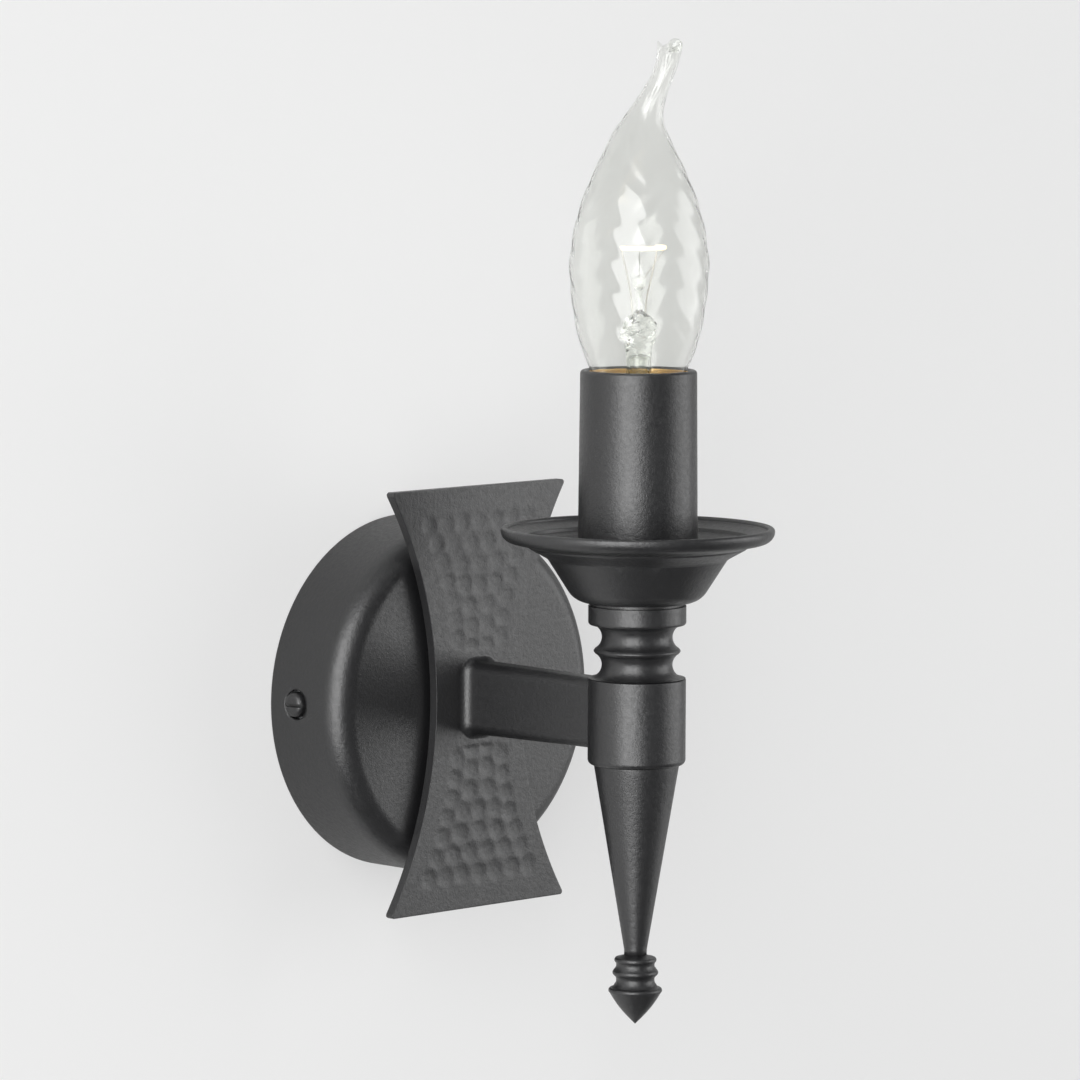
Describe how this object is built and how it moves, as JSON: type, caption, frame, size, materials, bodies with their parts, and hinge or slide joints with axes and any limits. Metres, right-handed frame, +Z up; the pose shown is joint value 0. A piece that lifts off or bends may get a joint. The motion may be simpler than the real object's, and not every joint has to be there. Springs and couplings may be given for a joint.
{
  "type": "wall sconce",
  "caption": "Torch-shaped wall light: round canopy, hammered bow-tie plate, short arm, turned torch with drip cup, candle sleeve and clear flame-tip lamp.",
  "frame": {"origin": "middle of the wall bracket on the wall plane, half way between the two wall slots", "axes": "+Z up along the torch, +Y into the wall, so the torch stands out towards -Y, and +X to the right of someone facing the wall light"},
  "size_m": [0.094, 0.1198, 0.2469],
  "materials": {
    "graphite_coat": "satin fine-grained graphite powder coat",
    "zinc_steel": "bright zinc-plated steel",
    "black_plastic": "black moulded plastic washer",
    "phenolic": "black moulded phenolic",
    "brass": "plain turned and pressed brass",
    "clear_glass": "clear blown glass with soft swirled flutes",
    "stem_glass": "clear pressed glass",
    "lamp_cap": "thin rolled brass",
    "solder": "soldered contact",
    "vitrite": "black glassy insulator",
    "lamp_wire": "bare nickel wire",
    "filament": "coiled tungsten wire",
    "nylon": "natural moulded nylon",
    "brown_insulation": "soft brown wire insulation",
    "blue_insulation": "soft blue wire insulation",
    "earth_insulation": "soft green and yellow wire insulation"
  },
  "bodies": {
    "fixture": {"wall_bracket": "zinc_steel", "canopy": "graphite_coat", "side_screws": "graphite_coat", "plate_spacer": "black_plastic", "hammered_plate": "graphite_coat", "arm": "graphite_coat", "arm_screws": "zinc_steel", "collar": "graphite_coat", "cone": "graphite_coat", "finial": "graphite_coat", "turned_neck": "graphite_coat", "centre_tube": "brass", "cup_washer": "graphite_coat", "drip_cup": "graphite_coat", "lock_nut": "zinc_steel", "candle_sleeve": "graphite_coat", "holder_base": "phenolic", "holder_barrel": "phenolic", "holder_shell": "brass", "holder_contact": "brass", "holder_terminals": "brass", "holder_screws": "zinc_steel", "terminal_block": "nylon", "terminal_tubes": "brass", "terminal_screws": "zinc_steel", "block_screw": "zinc_steel", "earth_stud": "zinc_steel", "earth_nut": "zinc_steel", "earth_screw": "zinc_steel", "earth_tags": "brass", "live_lead": "brown_insulation", "neutral_lead": "blue_insulation", "earth_lead": "earth_insulation"},
    "lamp_lift": {"bulb_contact": "solder"},
    "lamp": {"bulb_glass": "clear_glass", "bulb_cap": "lamp_cap", "bulb_insulator": "vitrite", "bulb_stem": "stem_glass", "bulb_wires": "lamp_wire", "bulb_filament": "filament"}
  },
  "joints": [
    {"name": "bulb_rise", "type": "slide", "parent": "fixture", "child": "lamp_lift", "axis": [0, 0, 1], "range_m": [0, 0.0141]},
    {"name": "bulb_turn", "type": "hinge", "parent": "lamp_lift", "child": "lamp", "pos_m": [0, -0.0856, 0.11], "axis": [0, 0, 1], "range_deg": [0, 1801]}
  ],
  "couplings": [
    {"joint": "bulb_turn", "follows": "bulb_rise", "rad_per_m": 2228.1}
  ]
}
